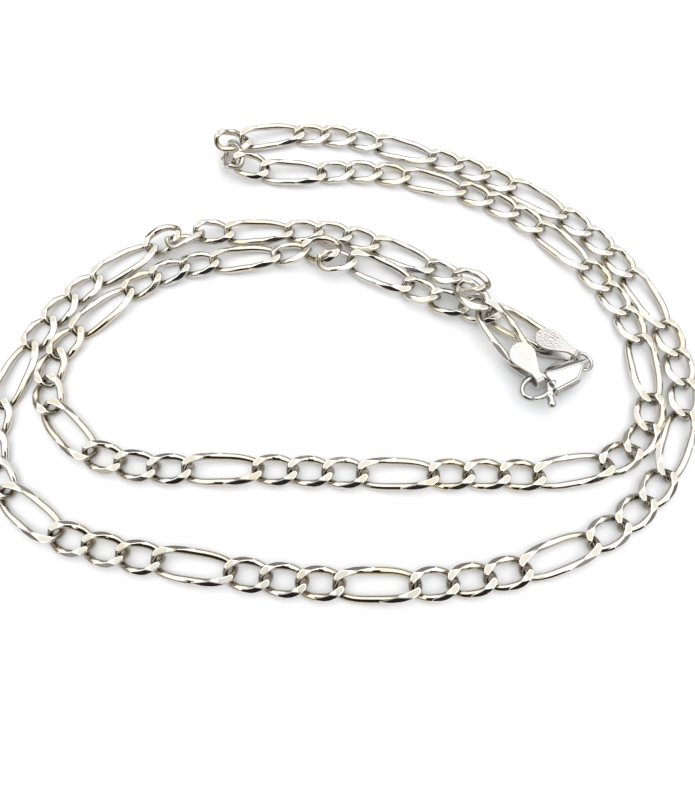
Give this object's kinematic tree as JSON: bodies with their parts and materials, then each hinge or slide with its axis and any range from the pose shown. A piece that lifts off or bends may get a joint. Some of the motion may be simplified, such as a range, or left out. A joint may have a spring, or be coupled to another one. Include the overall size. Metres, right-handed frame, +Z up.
{
  "type": "figaro chain",
  "caption": "Flat-ground silver figaro chain laid doubled, with folded end tabs, a jump ring and a lobster clasp whose lever turns on a pin.",
  "frame": {"origin": "middle of the laid chain's outline, on the surface that it lies on", "axes": "+X to the right along the outline's longer side, +Y away from the viewer, +Z up"},
  "size_m": [0.099, 0.0776, 0.0044],
  "materials": {
    "chain_silver": "polished sterling silver, ground flat above and below",
    "tab_silver": "stippled sterling silver strip",
    "clasp_silver": "cast and polished sterling silver"
  },
  "bodies": {
    "necklace": {"chain_claw_half": "chain_silver", "chain_ring_half": "chain_silver", "ring_tab": "tab_silver", "claw_tab": "tab_silver", "jump_ring": "clasp_silver", "clasp_body": "clasp_silver", "lever_pin": "clasp_silver"},
    "lever": {"clasp_lever": "clasp_silver"}
  },
  "joints": [
    {"name": "lever_hinge", "type": "hinge", "parent": "necklace", "child": "lever", "pos_m": [0.02873, -0.01088, 0.00192], "axis": [-0.0688, -0.0563, -0.996], "range_deg": [0, 24], "stiffness_Nm_per_rad": 0.001, "springref_deg": -17.19}
  ]
}
